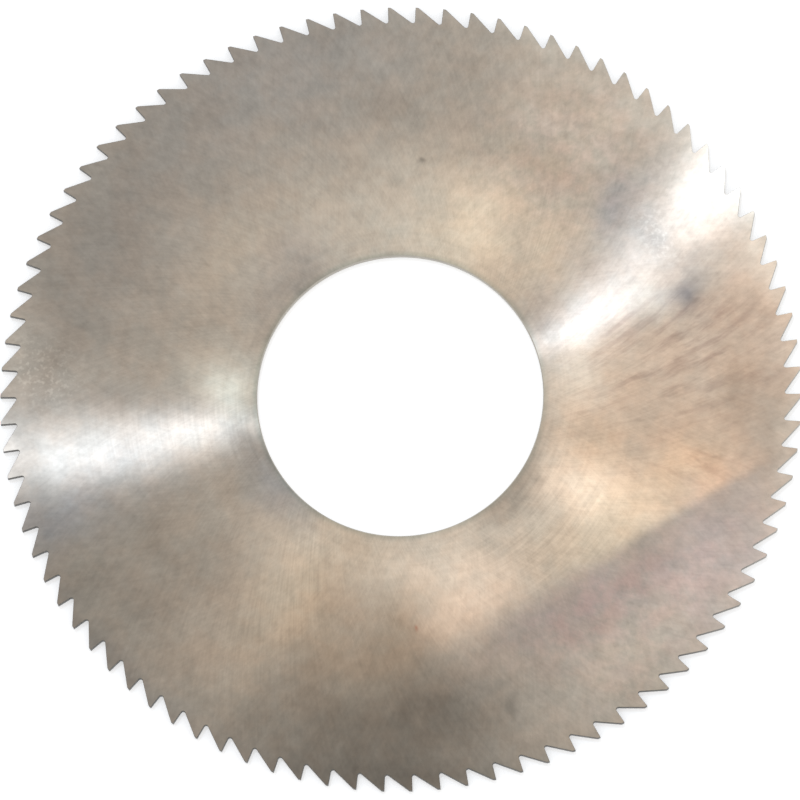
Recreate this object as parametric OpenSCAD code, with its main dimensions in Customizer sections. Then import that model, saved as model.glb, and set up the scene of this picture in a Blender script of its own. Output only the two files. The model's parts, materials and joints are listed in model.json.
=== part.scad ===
/* [Blade] */
// Outside diameter, measured over the tooth tips
outer_d = 44.45; // [38:0.05:64]
// Thickness of the blade
blade_t = 0.406; // [0.2:0.001:1.6]

/* [Arbor bore] */
// Diameter of the bore that fits the arbor
bore_d = 15.875; // [8:0.005:25.4]
// Width of the broken edge round each end of the bore
bore_break = 0.05; // [0.02:0.01:0.08]

/* [Teeth] */
// Number of teeth round the rim
teeth = 90; // [60:1:110]
// Depth of the gullets below the tips
tooth_depth = 0.91; // [0.6:0.01:1.1]
// Rake of the cutting face, from the radius through the tip
rake_angle = 0; // [-4:1:8]
// Radius at the root of each gullet
gullet_r = 0.125; // [0.08:0.005:0.18]
// Width of the land behind the cutting edge
land_w = 0.16; // [0.05:0.01:0.25]
// Relief of the land, from the tangent at the tip
land_relief = 8; // [4:1:15]

/* [Hidden] */
outer_r = outer_d / 2;
bore_r = bore_d / 2;
root_r = outer_r - tooth_depth;
pitch_angle = 360 / teeth;
steel_colour = [0.64, 0.6, 0.54];
// How far the bore's cutter stands out of both sides
overlap = 1;
bore_fn = 180;
root_steps = 10;

// The teeth cut when the blade turns anticlockwise seen from +Z. A tip lies on +X, its cutting face
// looks along +Y into the gullet, and the back of the next tooth closes that gullet.
tip = outer_r * [1, 0];
face_inward = [-cos(rake_angle), -sin(rake_angle)];
face_normal = [-sin(rake_angle), cos(rake_angle)];

// The root circle touches the cutting face and the circle through the gullet bottoms
root_line = tip + gullet_r * face_normal;
root_along = root_line * face_inward;
root_reach = sqrt(root_along ^ 2 - root_line * root_line + (root_r + gullet_r) ^ 2);
face_len = -root_along - root_reach;
root_centre = root_line + face_len * face_inward;
face_turn = rake_angle + 270;

// The land falls from the next tip, and the straight back runs on from its heel to the root circle
next_tip = polar(outer_r, pitch_angle);
heel = next_tip + polar(land_w, pitch_angle - 90 - land_relief);
heel_offset = heel - root_centre;
back_turn = atan2(heel_offset.y, heel_offset.x) + acos(gullet_r / norm(heel_offset));

// Outline of one tooth space: the tip, the arc from the foot of its face to the foot of the back, the heel
root_arc = [
    for (i = [0 : root_steps])
        root_centre + polar(gullet_r, face_turn + (back_turn - face_turn) * i / root_steps)
];
tooth_space = concat([tip], root_arc, [heel]);

// Point at a distance and angle from the origin
function polar(r, angle) = r * [cos(angle), sin(angle)];

// A point turned about the blade's axis
function turned(p, angle) = [p.x * cos(angle) - p.y * sin(angle), p.x * sin(angle) + p.y * cos(angle)];

// Rim outline, with the tooth space repeated round the axis
module toothed_rim() {
    polygon([
        for (i = [0 : teeth - 1], p = tooth_space)
            turned(p, i * pitch_angle)
    ]);
}

// Arbor bore with a broken edge at both ends
module bore_cut() {
    rotate_extrude($fn = bore_fn)
        polygon([
            [0, -overlap],
            [bore_r + bore_break + overlap, -overlap],
            [bore_r, bore_break],
            [bore_r, blade_t - bore_break],
            [bore_r + bore_break + overlap, blade_t + overlap],
            [0, blade_t + overlap]
        ]);
}

// Flat blade, lying on its lower side
module saw_blade() {
    color(steel_colour)
        difference() {
            linear_extrude(blade_t)
                toothed_rim();
            bore_cut();
        }
}

saw_blade();
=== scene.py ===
import json
import math

import bpy
import numpy as np
from mathutils import Matrix, Vector


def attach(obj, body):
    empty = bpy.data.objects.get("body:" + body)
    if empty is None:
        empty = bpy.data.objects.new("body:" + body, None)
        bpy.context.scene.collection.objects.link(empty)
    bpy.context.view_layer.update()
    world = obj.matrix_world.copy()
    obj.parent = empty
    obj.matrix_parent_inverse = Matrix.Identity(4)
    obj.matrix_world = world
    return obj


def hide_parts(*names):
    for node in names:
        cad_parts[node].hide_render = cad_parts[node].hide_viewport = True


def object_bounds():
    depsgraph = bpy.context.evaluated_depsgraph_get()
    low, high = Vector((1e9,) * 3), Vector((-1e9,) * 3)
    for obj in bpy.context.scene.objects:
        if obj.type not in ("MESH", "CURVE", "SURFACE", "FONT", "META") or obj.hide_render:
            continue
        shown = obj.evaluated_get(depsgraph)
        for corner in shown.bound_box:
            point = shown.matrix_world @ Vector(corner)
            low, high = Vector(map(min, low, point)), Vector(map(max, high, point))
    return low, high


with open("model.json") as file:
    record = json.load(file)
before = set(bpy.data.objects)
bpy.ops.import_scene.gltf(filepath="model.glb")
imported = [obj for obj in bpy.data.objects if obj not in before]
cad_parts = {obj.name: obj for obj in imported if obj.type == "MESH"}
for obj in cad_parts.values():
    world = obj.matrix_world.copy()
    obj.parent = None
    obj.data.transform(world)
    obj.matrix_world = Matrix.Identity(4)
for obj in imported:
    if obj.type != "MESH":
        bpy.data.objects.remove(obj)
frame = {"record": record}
cadLow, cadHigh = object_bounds()
arborBore = next(m for m in frame["record"]["mounts"] if m["name"] == "arbor_bore")
mm = 0.001
outerR = (cadHigh.x - cadLow.x) / 2
bladeT = cadHigh.z - cadLow.z
boreR = arborBore["dims"]["r_mm"] * mm
white = (1.0, 1.0, 1.0, 1.0)
print("frame loaded, blade", round(outerR / mm, 3), "mm radius,", round(bladeT / mm, 3), "mm thick")


# A socket that does sums: each operator adds one Math node and gives its result back as another wire.
class Wire:
    def __init__(self, tree, socket):
        self.tree = tree
        self.socket = socket

    def __add__(self, other):
        return self.tree.maths("ADD", self, other)

    def __sub__(self, other):
        return self.tree.maths("SUBTRACT", self, other)

    def __mul__(self, other):
        return self.tree.maths("MULTIPLY", self, other)

    def __truediv__(self, other):
        return self.tree.maths("DIVIDE", self, other)

    def __pow__(self, other):
        return self.tree.maths("POWER", self, other)

    def __rsub__(self, other):
        return self.tree.maths("SUBTRACT", other, self)

    def __rpow__(self, other):
        return self.tree.maths("POWER", other, self)

    __radd__ = __add__
    __rmul__ = __mul__

    # smooth step from 0 at low to 1 at high
    def between(self, low, high):
        sockets = {"Value": self, "From Min": low, "From Max": high}
        return self.tree.wire("ShaderNodeMapRange", {"interpolation_type": "SMOOTHSTEP"}, sockets)


# Places of the colour sockets on a Mix node, where names are shared by sockets of other kinds
mixShare, mixFirst, mixSecond, mixResult = 0, 6, 7, 2
noiseMiddle = 0.5  # what the values of a Noise node lie about


# The nodes of one material or world, with one method for every kind of node.
class FinishTree:
    def __init__(self, owner):
        self.owner = owner
        owner.use_nodes = True
        self.nodes = owner.node_tree.nodes
        self.links = owner.node_tree.links
        self.nodes.clear()

    def node(self, kind, settings=None, sockets=None):
        made = self.nodes.new(kind)
        for key, value in (settings or {}).items():
            setattr(made, key, value)
        for key, value in (sockets or {}).items():
            if isinstance(value, Wire):
                self.links.new(value.socket, made.inputs[key])
            else:
                made.inputs[key].default_value = value
        return made

    def wire(self, kind, settings=None, sockets=None, output=0):
        return Wire(self, self.node(kind, settings, sockets).outputs[output])

    def maths(self, operation, *terms):
        return self.wire("ShaderNodeMath", {"operation": operation}, dict(enumerate(terms)))

    def vectors(self, operation, first, second, output="Vector"):
        return self.wire("ShaderNodeVectorMath", {"operation": operation}, {0: first, 1: second}, output)

    def dot(self, first, second):
        return self.vectors("DOT_PRODUCT", first, second, "Value")

    def scaled(self, vector, factor):
        return self.wire("ShaderNodeVectorMath", {"operation": "SCALE"}, {0: vector, "Scale": factor})

    def split(self, vector):
        node = self.node("ShaderNodeSeparateXYZ", None, {0: vector})
        return [Wire(self, output) for output in node.outputs]

    def point(self, x, y, z):
        return self.wire("ShaderNodeCombineXYZ", None, {0: x, 1: y, 2: z})

    # noise about zero, of features about one over scale wide
    def noise(self, vector, scale=1.0, detail=2.0, rough=0.5):
        sockets = {"Vector": vector, "Scale": scale, "Detail": detail, "Roughness": rough}
        return self.wire("ShaderNodeTexNoise", None, sockets) - noiseMiddle

    # the vector shifted by a noise of its own, which is about zero too
    def warped(self, vector, scale, reach, detail=3.0):
        sockets = {"Vector": vector, "Scale": scale, "Detail": detail}
        cloud = self.wire("ShaderNodeTexNoise", None, sockets, "Color")
        swing = self.vectors("SUBTRACT", cloud, (noiseMiddle,) * 3)
        return self.vectors("ADD", vector, self.scaled(swing, reach))

    # colour times tint, in the given share
    def tinted(self, colour, tint, share):
        settings = {"data_type": "RGBA", "blend_type": "MULTIPLY", "clamp_factor": True}
        sockets = {mixShare: share, mixFirst: colour, mixSecond: tint}
        return self.wire("ShaderNodeMix", settings, sockets, mixResult)

    def blended(self, first, second, share):
        return self.wire("ShaderNodeMixShader", None, {0: share, 1: first, 2: second})

    def bump(self, height, distance):
        return self.wire("ShaderNodeBump", None, {"Strength": 1.0, "Distance": distance, "Height": height})

    def finish(self, shader, output="ShaderNodeOutputMaterial"):
        self.node(output, None, {"Surface": shader})
        return self.owner


bladeForm = {
    "teeth": 90,
    "toothDepth": 0.91 * mm,
    "rootR": 0.125 * mm,
    "landW": 0.16 * mm,
    "landRelief": math.radians(8),
    "boreBreak": 0.05 * mm,
    "edgeBreak": 0.012 * mm,  # burr rubbed off the outline's edges
    "tipWear": 0.012 * mm,  # how far the most worn tip is worn back
    "leastWear": 0.2,  # share of it that the least worn tip has
    "wearReach": 0.12 * mm,
    "wearSeed": 7,
    "faceSteps": 7,
    "rootSteps": 9,
    "backSteps": 9,
    "landSteps": 3,
    "faceShare": 0.15,  # of the pitch, for the columns behind a cutting face
    "rings": 6,
    "sharpAngle": math.radians(20),
}
groundBand, edgeBand, boreBand = 0, 1, 2  # the finishes of the skin, in the order of its materials
wallBands = 3  # a cut wall has an edge break, the wall itself and another edge break


# Evenly spaced points from start towards end, with the end left out.
def along(start, end, steps):
    share = np.linspace(0.0, 1.0, steps, endpoint=False)[:, None]
    return start + (end - start) * share


# Radius times the cosine and radius times the sine of the angle.
def polar(radius, angle):
    return np.stack([radius * np.cos(angle), radius * np.sin(angle)], -1)


# One tooth space from its tip: down the radial face, round the root circle, up the straight back that is
# tangent to that circle, then along the relieved land to the next tip. With it come the turns of the columns
# that meet it from below: those of the face lie behind the face, inside the tooth.
def toothSpace(form):
    pitch = 2 * math.pi / form["teeth"]
    root = form["rootR"]
    reach = outerR - form["toothDepth"] + root
    tip = np.array([outerR, 0.0])
    rootCentre = np.array([math.sqrt(reach**2 - root**2), root])
    nextTip = polar(outerR, pitch)
    heel = nextTip + polar(form["landW"], pitch - math.pi / 2 - form["landRelief"])
    offset = heel - rootCentre
    faceTurn = 1.5 * math.pi
    backTurn = math.atan2(offset[1], offset[0]) + math.acos(root / np.linalg.norm(offset))
    turns = np.linspace(faceTurn, backTurn, form["rootSteps"])
    arc = rootCentre + polar(root, turns)
    face = along(tip, arc[0], form["faceSteps"])
    back = along(arc[-1], heel, form["backSteps"])
    land = along(heel, nextTip, form["landSteps"])
    rest = np.concatenate([arc[:-1], back, land])
    behind = form["faceShare"] * pitch
    faceColumns = np.linspace(-behind, 0.0, len(face), endpoint=False)
    restColumns = np.arctan2(rest[:, 1], rest[:, 0]) * (1 - form["faceShare"])
    return np.concatenate([face, rest]), np.concatenate([faceColumns, restColumns])


# The tooth space turned to every pitch. Each tip is worn back by its own depth, which falls off by e to the
# minus squared distance from the tip in reaches.
def rimOutline(form):
    space, spaceColumns = toothSpace(form)
    turns = np.arange(form["teeth"]) * 2 * math.pi / form["teeth"]
    cosines, sines = np.cos(turns)[:, None], np.sin(turns)[:, None]
    x = space[:, 0] * cosines - space[:, 1] * sines
    y = space[:, 0] * sines + space[:, 1] * cosines
    points = np.stack([x, y], -1).reshape(-1, 2)
    chance = np.random.default_rng(form["wearSeed"])
    wear = chance.uniform(form["leastWear"], 1.0, form["teeth"]) * form["tipWear"]
    gaps = np.linalg.norm(points[:, None] - polar(outerR, turns), axis=2) / form["wearReach"]
    wornBy = np.exp(-(gaps**2)) @ wear
    radius = np.linalg.norm(points, axis=1)
    columns = (turns[:, None] + spaceColumns).ravel()
    return points * ((radius - wornBy) / radius)[:, None], columns


# The outline moved inwards along the mean of its two neighbouring edge normals.
def insetOutline(points, distance):
    ahead = np.roll(points, -1, 0) - points
    ahead = ahead / np.linalg.norm(ahead, axis=1)[:, None]
    both = ahead + np.roll(ahead, 1, 0)
    normal = np.stack([-both[:, 1], both[:, 0]], -1)
    normal = normal / np.linalg.norm(normal, axis=1)[:, None]
    return points + normal * distance


# The whole skin is one grid that closes both ways: columns follow the rim outline, rows go from the bore
# over the upper side, down the toothed edge, back over the lower side and up the bore wall. With it comes
# the finish of each band between two rows.
def bladeSkin(form):
    outline, turns = rimOutline(form)
    inset = insetOutline(outline, form["edgeBreak"])
    rootCircle = outerR - form["toothDepth"] - form["rootR"]
    ringR = np.linspace(boreR + form["boreBreak"], rootCircle, form["rings"])
    rings = [polar(r, turns) for r in ringR]
    bore = polar(boreR, turns)
    top, bottom = cadHigh.z, cadLow.z
    sideRows = [(p, top) for p in rings + [inset]]
    edgeRows = [(outline, top - form["edgeBreak"]), (outline, bottom + form["edgeBreak"])]
    backRows = [(p, bottom) for p in [inset] + rings[::-1]]
    boreRows = [(bore, bottom + form["boreBreak"]), (bore, top - form["boreBreak"])]
    rows = sideRows + edgeRows + backRows + boreRows
    skin = np.stack([np.column_stack([p, np.full(len(turns), z)]) for p, z in rows])
    sideBands = [groundBand] * (len(sideRows) - 1)
    bands = sideBands + [edgeBand] * wallBands + sideBands + [boreBand] * wallBands
    return skin, np.array(bands)


# Quads between neighbouring rows and columns of a grid that closes both ways.
def closedGrid(name, skin, bands, materials, sharpAngle):
    rows, columns = skin.shape[:2]
    index = np.arange(rows * columns).reshape(rows, columns)
    right, up = np.roll(index, -1, 1), np.roll(index, -1, 0)
    rightUp = np.roll(up, -1, 1)
    quads = np.stack([index, up, rightUp, right], -1).reshape(-1, 4)
    mesh = bpy.data.meshes.new(name)
    mesh.vertices.add(rows * columns)
    mesh.vertices.foreach_set("co", skin.astype(np.float32).ravel())
    mesh.loops.add(quads.size)
    mesh.loops.foreach_set("vertex_index", quads.astype(np.int32).ravel())
    mesh.polygons.add(len(quads))
    mesh.polygons.foreach_set("loop_start", np.arange(0, quads.size, 4, dtype=np.int32))
    for material in materials:
        mesh.materials.append(material)
    mesh.polygons.foreach_set("material_index", np.repeat(bands, columns).astype(np.int32))
    mesh.polygons.foreach_set("use_smooth", np.ones(len(quads), dtype=bool))
    mesh.update(calc_edges=True)
    mesh.validate()
    mesh.set_sharp_from_angle(angle=sharpAngle)
    piece = bpy.data.objects.new(name, mesh)
    bpy.context.scene.collection.objects.link(piece)
    return piece


# The ground sides: tints multiply the steel's colour, bands are shares of the outer radius, and edges are the
# values of a noise between which its mark comes in.
groundFinish = {
    "steel": (0.47, 0.39, 0.31),
    "coolTint": (0.955, 1.0, 1.03, 1.0),
    "coolEdge": (-0.15, 0.15),
    "rimTint": (0.78, 0.8, 0.82, 1.0),  # the steel is darker and cooler towards the teeth
    "rimBand": (0.42, 1.0),
    "boreTint": (0.78, 0.84, 0.85, 1.0),
    "boreBand": (0.358, 0.376),
    "ringBand": (0.38, 0.56),  # where the rings round the bore fade out
    "dashTint": (0.79, 0.76, 0.77, 1.0),
    "dashEdge": (-0.05, 0.2),
    "blushTint": (1.06, 0.95, 0.96, 1.0),
    "blushEdge": (-0.12, 0.12),
    "speckleEdge": (-0.02, 0.22),
    "roughness": 0.125,
    "anisotropy": 1.0,
    "innerLean": 25.0,  # degrees that the grain's gloss leans from the radius, near the bore
    "outerLean": 19.0,
    "lowerTurn": 140.0,  # the lower side's marks are turned by this much
    "patchWarp": (0.3, 2.4),  # scale and reach in mm of the noise that makes the patches uneven
    "waver": 0.03,  # how far the dashes wander, in radians
    "grain": 0.2,
    "crossGrain": 0.2,
    "fineLines": 0.1,
    "ringLines": 0.2,
    "clouds": 0.5,
    "mottle": 0.4,
    "roughSwing": 0.005,
    "scratchDepth": 0.00005 * mm,
}

# Marks drawn out along spirals: the lean from the radius in degrees, then how fast the noise changes round
# the axis and along the radius
spirals = {
    "grain": {"lean": 24.0, "turns": 85.0, "climb": 26.0, "detail": 2.0},
    "crossGrain": {"lean": -19.0, "turns": 85.0, "climb": 26.0, "detail": 2.0},
    "fineLines": {"lean": 24.0, "turns": 120.0, "climb": 8.0, "detail": 2.0},
    "ringLines": {"lean": 0.0, "turns": 5.0, "climb": 110.0, "detail": 2.0},
    "dashes": {"lean": 20.0, "turns": 25.0, "climb": 7.0, "detail": 3.0},
    "crossDashes": {"lean": -7.0, "turns": 30.0, "climb": 7.0, "detail": 3.0},
}
spiralRough = 0.6

# Marks with no direction, in cycles to the mm
noises = {
    "warmth": {"scale": 0.5, "detail": 3.0, "rough": 0.6},
    "waver": {"scale": 0.5},
    "clouds": {"scale": 0.35, "detail": 5.0, "rough": 0.6},
    "mottle": {"scale": 1.6, "detail": 4.0, "rough": 0.65},
    "speckle": {"scale": 4.0, "detail": 1.0},
    "blush": {"scale": 0.8, "detail": 3.0, "rough": 0.6},
}

# Tones of tarnish and of painted reflected light and shade: at full strength the steel's colour is multiplied
# by them
tones = {
    "light": (2.0, 2.0, 2.0),
    "cream": (2.0, 1.85, 1.6),
    "peach": (1.7, 1.5, 1.4),
    "amber": (1.6, 1.3, 1.05),
    "mauve": (1.7, 1.65, 1.9),
    "frost": (1.8, 2.0, 2.1),
    "sky": (0.95, 1.15, 1.4),
    "blue": (0.6, 0.75, 1.0),
    "slate": (0.3, 0.35, 0.45),
    "shade": (0.5, 0.5, 0.5),
    "plum": (0.75, 0.7, 0.85),
    "brown": (0.6, 0.5, 0.4),
    "ochre": (1.0, 0.85, 0.7),
    "rust": (0.9, 0.65, 0.6),
}


# A patch on a side: place from the axis in degrees and mm, reach along and round the radius in mm, tone and
# strength. Patches paint tarnish, and also reflected light and shade. Turn swings it from the radius in
# degrees, and arc bends it round the axis. Side keeps it above or below the straight edge of the painted
# light. Any other key is added to the gain of that mark inside the patch.
def spot(angle, radius, reach, tone=None, strength=0.0, **more):
    return {"angle": angle, "radius": radius, "reach": reach, "tone": tone, "strength": strength, **more}


stainsAndPaintedLight = {
    # the lower right: painted reflected light above a straight edge, and painted shade below it
    "paintedCreamLight": spot(335, 11.2, (3.0, 2.0), "light", 0.75, side="above"),
    "paintedCreamLightEdge": spot(331, 14.6, (5.0, 2.4), "cream", 0.5, side="above", turn=58),
    "paintedAmberLight": spot(345, 17.5, (3.6, 2.2), "amber", 0.5, side="above", cross=0.8),
    "orangeInner": spot(346, 11, (2.0, 2.0), "ochre", 0.5),
    "paintedFootLight": spot(285, 9.9, (2.7, 3.8), "light", 0.55, side="above"),
    "paintedFootLightTail": spot(289, 13.2, (3.0, 2.2), "peach", 0.7, side="above", turn=100),
    "ringsInPaintedLight": spot(318, 12, (4.0, 5.0), side="above", rings=2.4),
    # painted shade below the straight edge of the painted light
    "paintedMauveShade": spot(312, 15.6, (5.6, 2.0), "plum", 0.5, side="below", turn=77, blush=0.7),
    "mauveRim": spot(333, 20, (3.0, 4.0), "mauve", 0.5, blush=0.3),
    "paleLower": spot(313, 19, (3.0, 4.5), "light", 0.35, mottle=0.6, blush=0.6),
    "pinkLower": spot(346, 20.5, (2.4, 3.0), "peach", 0.2),
    # painted shade next to the bore
    "boreShadeLowerRight": spot(327, 8.4, (0.9, 3.8), "shade", 0.6, arc=True),
    # the right
    "peachSide": spot(4, 14, (9.0, 5.5), "peach", 0.5, dashes=0.45),
    "peachRim": spot(14, 20.5, (3.2, 5.0), "peach", 0.6),
    "paleSide": spot(8, 9.6, (1.9, 2.2), "frost", 0.45),
    "dashField": spot(11, 16.2, (4.5, 3.6), dashes=1.0),
    "dullRing": spot(3, 19, (1.0, 3.0), "brown", 0.2, arc=True),
    "paleRing": spot(5, 17, (0.8, 3.0), "light", 0.1, arc=True),
    "warmOuter": spot(354, 17, (1.8, 2.6), "amber", 0.15),
    "warmSide": spot(4, 12.6, (2.6, 3.0), "amber", 0.1),
    # the streak at the upper right
    "darkBlot": spot(20.8, 16.9, (1.2, 0.9), "slate", 0.85, turn=28),
    "blueSmudge": spot(42, 16.4, (1.9, 1.0), "blue", 0.4, turn=10),
    "blueStreak": spot(35, 15.5, (2.6, 1.6), "sky", 0.3),
    # painted highlight: lighter, whiter steel along the lamp's streak
    "paintedHighlightFoot": spot(22, 15.5, (2.0, 1.2), "frost", 0.3),
    "paintedHighlightInner": spot(24, 11, (3.4, 1.8), "sky", 0.4),
    "streakScuff": spot(33, 16.8, (1.0, 1.4), "shade", 0.4, speckle=0.25),
    # painted glare of the lamp round the streak's outer end, at the rim
    "paintedGlareRim": spot(33, 20.6, (2.8, 2.6), "light", 0.35, rough=0.016),
    "glareTail": spot(21, 20.8, (1.6, 2.2), "light", 0.2),
    "boreStreak": spot(20, 8.8, (1.3, 2.4), "slate", 0.15, rough=-0.022),
    "boreRight": spot(34, 8.3, (0.9, 2.0), "shade", 0.3),
    # the top
    # painted reflected light: the upper end of a weak streak, opposite the one at 241 degrees
    "paintedWeakStreakTop": spot(66, 10.8, (3.2, 2.6), "cream", 0.4),
    "paleUpper": spot(90, 9, (3.0, 4.4), "frost", 0.25),
    "tanEdge": spot(46, 11.4, (3.2, 1.8), "cream", 0.2, lines=1.5),
    "creamArc": spot(72, 12.2, (1.6, 5.5), "light", 0.1, arc=True),
    "pinkMottle": spot(55, 16.5, (5.0, 5.0), "light", 0.1, mottle=0.9, blush=0.6),
    "pinkRim": spot(56, 20.5, (3.4, 5.0), "light", 0.45),
    "brownArc": spot(58, 15.6, (1.0, 2.6), "brown", 0.25, arc=True),
    "brownRing": spot(58, 19.3, (1.0, 3.0), "brown", 0.25, arc=True),
    "paleBrow": spot(63, 17.9, (0.9, 4.0), "light", 0.1, arc=True),
    "paleRimTop": spot(78, 20.6, (1.4, 4.0), "light", 0.1, arc=True),
    "greyTop": spot(108, 20, (5.0, 9.0), "blue", 0.3),
    "greyBand": spot(93, 16.6, (1.0, 5.0), "shade", 0.2, arc=True),
    "darkDot": spot(85.4, 13.15, (0.2, 0.16), "shade", 0.9),
    # the left, with its streak
    "greyUpper": spot(150, 18.6, (5.6, 9.0), "slate", 0.35),
    # painted shade next to the bore
    "boreShadeUpperLeft": spot(136, 8.6, (1.1, 3.8), "slate", 0.35, arc=True),
    "coolInner": spot(126, 10.2, (1.6, 2.0), "blue", 0.2),
    "greyInner": spot(157, 10.4, (1.6, 1.6), "shade", 0.2),
    "paleArc": spot(140, 12.9, (1.2, 2.8), "cream", 0.1, arc=True),
    "greyLeft": spot(171, 13.4, (2.2, 3.0), "shade", 0.25, arc=True),
    "dullCorner": spot(169, 18.6, (1.4, 2.0), "shade", 0.25),
    "speckle": spot(176, 19.8, (1.8, 2.0), "frost", 0.05, speckle=0.3),
    "paleBore": spot(176, 9.2, (1.9, 1.6), "frost", 1.0, rough=0.01),
    "boreLeft": spot(188, 8.6, (1.6, 2.2), "shade", 0.65, rough=-0.026),
    "greyStreak": spot(181, 15.5, (4.0, 1.2), "shade", 0.25),
    "streakFan": spot(176, 11, (2.2, 1.5), "frost", 0.1),
    "dullStreak": spot(184, 12, (2.2, 1.4), "slate", 0.15),
    "ringStreak": spot(189, 13, (5.0, 2.4), rings=1.6),
    "coolStreak": spot(192, 15.5, (4.0, 1.8), "sky", 0.25),
    "greyFlank": spot(201, 15, (3.4, 1.4), "slate", 0.15),
    "blueRim": spot(200, 20.5, (3.0, 1.6), "blue", 0.5),
    "dullRim": spot(190, 21, (1.6, 3.0), "shade", 0.55),
    # the lower left
    "greyLower": spot(213, 16, (9.0, 5.5), "shade", 0.55),
    # painted shade next to the bore
    "boreShadeLowerLeft": spot(216, 8.6, (1.2, 3.0), "blue", 0.5),
    "dullLower": spot(217, 20, (2.4, 3.2), "shade", 0.2),
    "paleLeft": spot(234, 10.3, (1.8, 2.4), "light", 0.2, lines=1.0),
    # painted reflected light: a weak streak
    "paintedWeakStreak": spot(241, 12.6, (5.6, 1.9), "cream", 0.2, lines=2.5),
    "tanOuter": spot(232, 17.5, (2.8, 3.0), "amber", 0.15),
    "tanShade": spot(250, 12.6, (2.6, 1.8), "ochre", 0.4),
    # the foot: painted reflection of something dark, in brown and shade
    "footDarkReflection": spot(277, 18, (2.4, 3.6), "shade", 0.8),
    "innerDarkReflection": spot(271, 13.2, (2.4, 2.2), "brown", 0.5),
    "rimDarkReflection": spot(262, 20.5, (5.0, 8.0), "shade", 1.0),
    "fieldDarkReflection": spot(258, 15.5, (4.5, 6.0), "ochre", 0.3),
    "midDarkReflection": spot(260, 15.4, (1.2, 3.4), "brown", 0.25, arc=True),
    "tanFoot": spot(257, 9, (1.4, 1.8), "cream", 0.1),
    "smallBlot": spot(290, 18.6, (0.5, 0.4), "shade", 0.4),
    "rustDot": spot(275.6, 13, (0.16, 0.14), "rust", 1.0),
    # the teeth
    "paleTeeth": spot(352, 22, (0.9, 12.0), "light", 0.4, arc=True),
    # painted glare on the teeth at the upper right
    "glareTeeth": spot(29, 22.4, (1.1, 6.0), "frost", 0.4, arc=True),
    "upperTeeth": spot(72, 22.2, (0.8, 7.0), "frost", 0.25, arc=True),
    "leftTeeth": spot(173, 21.8, (1.2, 2.6), "light", 0.3, arc=True),
    "dullTeeth": spot(225, 21.9, (0.9, 9.0), "slate", 0.3, arc=True),
    # painted dark reflection on the teeth at the foot
    "teethDarkReflection": spot(276, 21.9, (0.9, 5.0), "shade", 0.55, arc=True),
}

# The straight edge of the painted reflected light runs square to this direction in degrees, at this distance
# in mm from the axis. It is soft by so many mm at its two ends, which lie at the given places along it.
paintedLightEdge = {
    "facing": 121.0,
    "offset": -13.7,
    "soft": (1.6, 0.4),
    "ends": (-6.0, 9.0),
    "waver": (0.4, 0.3),  # scale and reach in mm of the noise that makes it uneven
}


# The radius is the root of x squared plus y squared, and the angle is the arc tangent of y over x.
def radialField(tree, place):
    x, y, lift = tree.split(place)
    radius = (x * x + y * y) ** 0.5
    return {"place": place, "lift": lift, "radius": radius, "angle": tree.maths("ARCTAN2", y, x)}


# Places on a side in mm. The lower side reads its marks turned over and round, so that both sides show the
# same hand of grinding: x changes its sign there, and the place turns about the axis.
def sideField(tree, look):
    x, y, z = tree.split(tree.wire("ShaderNodeTexCoord", None, None, "Object"))
    upper = tree.maths("GREATER_THAN", z, (cadLow.z + cadHigh.z) / 2)
    flat = tree.scaled(tree.point(x * (upper * 2 - 1), y, 0.0), 1 / mm)
    turn = (1 - upper) * math.radians(look["lowerTurn"])
    sockets = {"Vector": flat, "Angle": turn}
    return radialField(tree, tree.wire("ShaderNodeVectorRotate", {"rotation_type": "Z_AXIS"}, sockets))


# Noise drawn out along a log spiral: the angle less the lean's tangent times the log of the radius is the
# same all along a line, so it goes round a circle through the noise while the radius climbs along its axis.
def spiralLines(tree, angle, share, mark):
    spiral = angle - math.tan(math.radians(mark["lean"])) * tree.maths("LOGARITHM", share, math.e)
    x = tree.maths("COSINE", spiral) * mark["turns"]
    y = tree.maths("SINE", spiral) * mark["turns"]
    return tree.noise(tree.point(x, y, share * mark["climb"]), detail=mark["detail"], rough=spiralRough)


# How far a place is above the edge of the painted light, and below it: a smooth step of the distance from the
# edge over its softness there. The distance is the dot product with the direction that the edge faces, less
# its offset.
def paintedLightSides(tree, place, edge):
    facing = math.radians(edge["facing"])
    x, y = math.cos(facing), math.sin(facing)
    across = tree.dot(tree.warped(place, *edge["waver"]), (x, y, 0.0))
    edgeway = tree.dot(place, (y, -x, 0.0))
    nearSoft, farSoft = edge["soft"]
    soft = nearSoft + edgeway.between(*edge["ends"]) * (farSoft - nearSoft)
    above = ((across - edge["offset"]) / soft).between(-1.0, 1.0)
    return {"above": above, "below": 1 - above}


# e to the minus squared distance from the patch's middle. The place is first measured in reaches, along and
# across an axis that is turned from the radius. An arc is measured along and round the radius instead. Dot
# products do this for every patch with few values held at once, of which the renderer has a limit.
def patchMask(tree, field, patch):
    angle = math.radians(patch["angle"])
    radius = patch["radius"]
    length, width = patch["reach"]
    if "arc" in patch:
        near = tree.maths("WRAP", field["angle"], angle + math.pi, angle - math.pi)
        local = tree.point(field["radius"] / length, near * (radius / width), 0.0)
        middle = (radius / length, angle * radius / width, 0.0)
    else:
        turn = math.radians(patch.get("turn", 0.0))
        x, y = polar(1.0, angle + turn)
        onward = tree.dot(field["place"], (x / length, y / length, 0.0))
        across = tree.dot(field["place"], (-y / width, x / width, 0.0))
        local = tree.point(onward, across, field["lift"])
        middle = (radius * math.cos(turn) / length, -radius * math.sin(turn) / width, 0.0)
    gap = tree.vectors("DISTANCE", local, middle, "Value")
    return (1 / math.e) ** (gap * gap)


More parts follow.
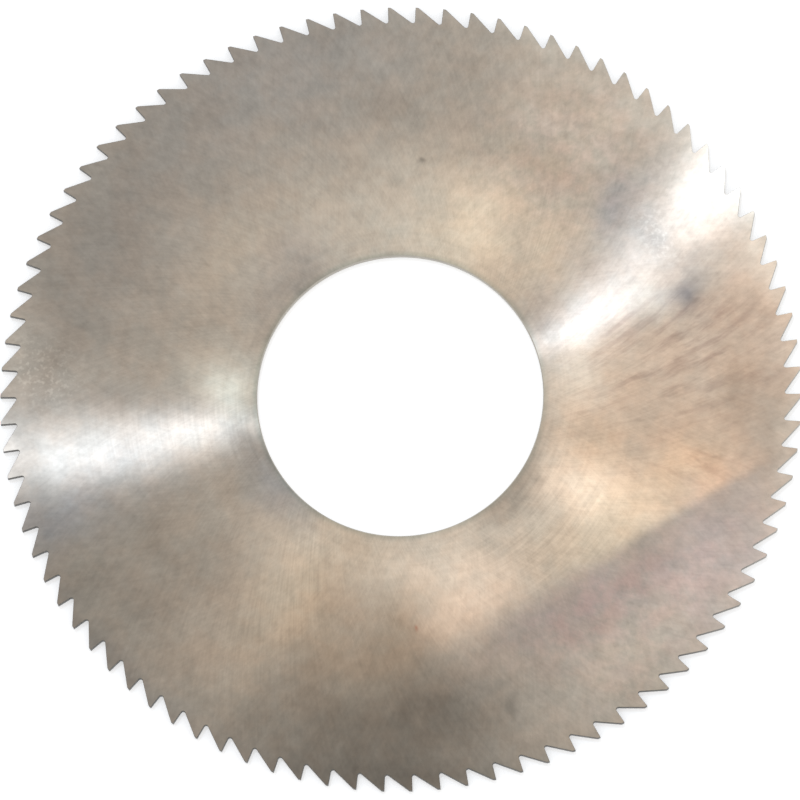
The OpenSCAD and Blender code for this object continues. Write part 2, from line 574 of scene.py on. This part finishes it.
# Each patch multiplies the colour by 1 plus its strength times the tone less 1, and adds to the gains. A
# patch's tint follows its mask at once, for the same limit.
def tintedByPatches(tree, colour, field, sides, gains):
    for patch in stainsAndPaintedLight.values():
        mask = patchMask(tree, field, patch)
        if "side" in patch:
            mask = mask * sides[patch["side"]]
        if patch["tone"]:
            tint = [1 + patch["strength"] * (part - 1) for part in tones[patch["tone"]]]
            colour = tree.tinted(colour, (*tint, 1.0), mask)
        for key in gains:
            if key in patch:
                gains[key] = mask * patch[key] + gains[key]
    return colour


# The steel's colour is tinted by place and by patch, which paints tarnish and also reflected light and shade,
# then multiplied by 1 plus the sum of all marks, each times its gain. The gloss leans with the grain: one
# shader near the bore is blended into another at the rim.
def groundSteel(look):
    tree = FinishTree(bpy.data.materials.new("groundSteel"))
    field = sideField(tree, look)
    place, angle = field["place"], field["angle"]
    share = field["radius"] / (outerR / mm)

    warmth = tree.noise(place, **noises["warmth"])
    colour = tree.tinted((*look["steel"], 1.0), look["coolTint"], warmth.between(*look["coolEdge"]))
    colour = tree.tinted(colour, look["rimTint"], share.between(*look["rimBand"]))
    colour = tree.tinted(colour, look["boreTint"], 1 - share.between(*look["boreBand"]))
    sides = paintedLightSides(tree, place, paintedLightEdge)
    gains = dict.fromkeys(("dashes", "cross", "rough", "speckle", "blush"), 0)
    gains.update({"lines": 1, "mottle": 1, "rings": 1 - share.between(*look["ringBand"])})
    patchField = radialField(tree, tree.warped(place, *look["patchWarp"]))
    colour = tintedByPatches(tree, colour, patchField, sides, gains)

    grain = spiralLines(tree, angle, share, spirals["grain"])
    crossGrain = spiralLines(tree, angle, share, spirals["crossGrain"])
    fineLines = spiralLines(tree, angle, share, spirals["fineLines"])
    ringLines = spiralLines(tree, angle, share, spirals["ringLines"])
    wavy = angle + tree.noise(place, **noises["waver"]) * look["waver"]
    dashes = spiralLines(tree, wavy, share, spirals["dashes"]).between(*look["dashEdge"])
    crossDashes = spiralLines(tree, wavy, share, spirals["crossDashes"]).between(*look["dashEdge"])
    clouds = tree.noise(place, **noises["clouds"])
    mottle = tree.noise(place, **noises["mottle"])
    speckle = tree.noise(place, **noises["speckle"]).between(*look["speckleEdge"])
    marks = grain * look["grain"] + crossGrain * look["crossGrain"]
    marks = marks + fineLines * gains["lines"] * look["fineLines"]
    rings = ringLines * gains["rings"] * look["ringLines"]
    blotches = clouds * look["clouds"] + mottle * gains["mottle"] * look["mottle"]
    colour = tree.scaled(colour, 1 + marks + rings + blotches + speckle * gains["speckle"])
    blush = tree.noise(place, **noises["blush"]).between(*look["blushEdge"])
    colour = tree.tinted(colour, look["blushTint"], blush * gains["blush"])
    colour = tree.tinted(colour, look["dashTint"], dashes * gains["dashes"] + crossDashes * gains["cross"])

    roughness = look["roughness"] + (mottle + ringLines) * look["roughSwing"] + gains["rough"]
    normal = tree.bump(grain + crossGrain + mottle, look["scratchDepth"])
    shaders = []
    for lean in (look["innerLean"], look["outerLean"]):
        sockets = {
            "Base Color": colour,
            "Metallic": 1.0,
            "Roughness": roughness,
            "Anisotropic": look["anisotropy"],
            "Anisotropic Rotation": lean / 360,  # in turns
            "Normal": normal,
        }
        shaders.append(tree.wire("ShaderNodeBsdfPrincipled", None, sockets))
    return tree.finish(tree.blended(*shaders, share.between(boreR / outerR, 1.0)))


toothEdgeFinish = {
    # nearly black, as painted shade, so that the walls show as dark lines
    "colour": (0.085, 0.08, 0.072),
    "paintedLitSide": 15.0,  # degrees round the axis, where painted light lightens the walls most
    "paintedLitBand": (0.4, 0.98),  # cosines of the angle from there
    "paintedLitTint": (5.0, 5.0, 5.0, 1.0),
    "drawn": (14.0, 14.0, 1.5),  # cycles to the mm, so the cutter's marks run through the thickness
    "roughness": 0.4,
    "lines": 0.7,
    "stain": 0.5,
    "roughSwing": 0.25,
    "depth": 0.002 * mm,
}

boreWallFinish = {
    "colour": (0.45, 0.42, 0.37),
    "drawn": (0.6, 0.6, 24.0),  # marks of the bore's grinding run round it
    "roughness": 0.36,
    "lines": 0.5,
    "stain": 0.4,
    "roughSwing": 0.2,
    "depth": 0.001 * mm,
}

cutLines = {"detail": 3.0, "rough": 0.6}
cutStain = {"scale": 0.7, "detail": 3.0, "rough": 0.6}


# Colour, roughness and bump all follow one noise that is drawn out along the marks, and a slow noise adds
# stain to it. A painted lit side, where painted light lightens the walls, is a smooth step of the cosine of
# the angle from it.
def cutSteel(name, look):
    tree = FinishTree(bpy.data.materials.new(name))
    place = tree.scaled(tree.wire("ShaderNodeTexCoord", None, None, "Object"), 1 / mm)
    lines = tree.noise(tree.vectors("MULTIPLY", place, look["drawn"]), **cutLines)
    stain = tree.noise(place, **cutStain)
    colour = tree.scaled(look["colour"], 1 + lines * look["lines"] + stain * look["stain"])
    if "paintedLitSide" in look:
        toward = math.radians(look["paintedLitSide"])
        x, y, _ = tree.split(place)
        facing = (x * math.cos(toward) + y * math.sin(toward)) / (x * x + y * y) ** 0.5
        colour = tree.tinted(colour, look["paintedLitTint"], facing.between(*look["paintedLitBand"]))
    sockets = {
        "Base Color": colour,
        "Metallic": 1.0,
        "Roughness": look["roughness"] + (lines + stain) * look["roughSwing"],
        "Normal": tree.bump(lines, look["depth"]),
    }
    return tree.finish(tree.wire("ShaderNodeBsdfPrincipled", None, sockets))


sideSteel = groundSteel(groundFinish)
edgeSteel = cutSteel("toothEdgeSteel", toothEdgeFinish)
boreSteel = cutSteel("boreWallSteel", boreWallFinish)
skin, bands = bladeSkin(bladeForm)
blade = closedGrid("blade", skin, bands, [sideSteel, edgeSteel, boreSteel], bladeForm["sharpAngle"])
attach(blade, "root")
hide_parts("saw_blade")
print("blade skin", len(blade.data.polygons), "faces")

studio = {
    "world": 0.75,
    "floorSize": 6.0,
    "floorGap": 0.02 * mm,  # below the blade
    "floorTone": 0.75,
    "floorGlow": 0.5,
    "keyDirection": (-0.19, 0.385),  # x and y of the unit vector to the lamp
    "keyDistance": 2.0,
    "keyWidth": 0.05,
    "keyLength": 0.13,
    "keyPower": 4.6,
    "keyColour": (0.7, 0.82, 1.0),
}

viewOf = {
    "tilt": 12.51,  # degrees from straight above
    "tiltAxis": 11.02,
    "bladeHalf": 0.0433,  # tangent of half the angle that the blade fills
    "viewHalf": 0.04319,  # tangent of half the angle of view
    "sensor": 36.0,
    "pictureWidth": 800,
    "rise": 4.5,  # pixels from the middle of the picture up to the blade's centre
}


# The camera leans from straight above by the tilt, about an axis that lies in the floor. The picture is then
# turned back by the axis's own angle. The distance is the blade's radius over the tangent of its half angle.
def aimCamera(look):
    tilt, axis = math.radians(look["tilt"]), math.radians(look["tiltAxis"])
    across = Vector((math.cos(axis), math.sin(axis), 0))
    upward = Vector((-math.sin(axis) * math.cos(tilt), math.cos(axis) * math.cos(tilt), math.sin(tilt)))
    back = Vector((math.sin(axis) * math.sin(tilt), -math.cos(axis) * math.sin(tilt), math.cos(tilt)))
    right = across * math.cos(axis) - upward * math.sin(axis)
    up = across * math.sin(axis) + upward * math.cos(axis)
    data = bpy.data.cameras.new("viewCamera")
    data.sensor_width = look["sensor"]
    data.lens = look["sensor"] / 2 / look["viewHalf"]
    data.shift_y = -look["rise"] / look["pictureWidth"]
    camera = bpy.data.objects.new("viewCamera", data)
    bpy.context.scene.collection.objects.link(camera)
    place = Vector((0, 0, cadHigh.z)) + back * (outerR / look["bladeHalf"])
    camera.matrix_world = Matrix.Translation(place) @ Matrix((right, up, back)).transposed().to_4x4()
    bpy.context.scene.camera = camera


# The lamp's height along its direction is the root of 1 less x squared less y squared.
def keyLamp(look):
    x, y = look["keyDirection"]
    toLamp = Vector((x, y, math.sqrt(1 - x * x - y * y)))
    data = bpy.data.lights.new("keyStrip", "AREA")
    data.shape = "ELLIPSE"
    data.size, data.size_y = look["keyWidth"], look["keyLength"]
    data.energy = look["keyPower"]
    data.color = look["keyColour"]
    lamp = bpy.data.objects.new("keyStrip", data)
    bpy.context.scene.collection.objects.link(lamp)
    lamp.location = toLamp * look["keyDistance"]
    lamp.rotation_mode = "QUATERNION"
    lamp.rotation_quaternion = toLamp.to_track_quat("Z", "Y")


# 1 for what is looked at straight, mirrored or seen through, and 0 for what only lights the object: the
# largest of the three rays' values.
def directView(tree):
    path = tree.node("ShaderNodeLightPath")
    names = ("Is Camera Ray", "Is Glossy Ray", "Is Transmission Ray")
    camera, glossy, through = [Wire(tree, path.outputs[name]) for name in names]
    return tree.maths("MAXIMUM", tree.maths("MAXIMUM", camera, glossy), through)


# A square floor just below the blade: a matt tone plus a glow that only shows where it is looked at.
def paleFloor(look):
    tree = FinishTree(bpy.data.materials.new("paleFloor"))
    tone = look["floorTone"]
    matt = tree.wire("ShaderNodeBsdfDiffuse", None, {"Color": (tone, tone, tone, 1.0)})
    sockets = {"Color": white, "Strength": directView(tree) * look["floorGlow"]}
    glow = tree.wire("ShaderNodeEmission", None, sockets)
    material = tree.finish(tree.wire("ShaderNodeAddShader", None, {0: matt, 1: glow}))
    half = look["floorSize"] / 2
    corners = [(-half, -half, 0), (half, -half, 0), (half, half, 0), (-half, half, 0)]
    mesh = bpy.data.meshes.new("floor")
    mesh.from_pydata(corners, [], [(0, 1, 2, 3)])
    mesh.materials.append(material)
    floor = bpy.data.objects.new("floor", mesh)
    bpy.context.scene.collection.objects.link(floor)
    floor.location.z = cadLow.z - look["floorGap"]


# A white surround: full strength where it is looked at, and the world's strength where it lights.
def softWorld(look):
    world = bpy.data.worlds.new("softWorld")
    bpy.context.scene.world = world
    tree = FinishTree(world)
    strength = look["world"] + directView(tree) * (1 - look["world"])
    shader = tree.wire("ShaderNodeBackground", None, {"Color": white, "Strength": strength})
    tree.finish(shader, "ShaderNodeOutputWorld")


aimCamera(viewOf)
keyLamp(studio)
paleFloor(studio)
softWorld(studio)
bpy.context.scene.view_settings.view_transform = "Standard"
print("camera, lamp, floor and surround set")
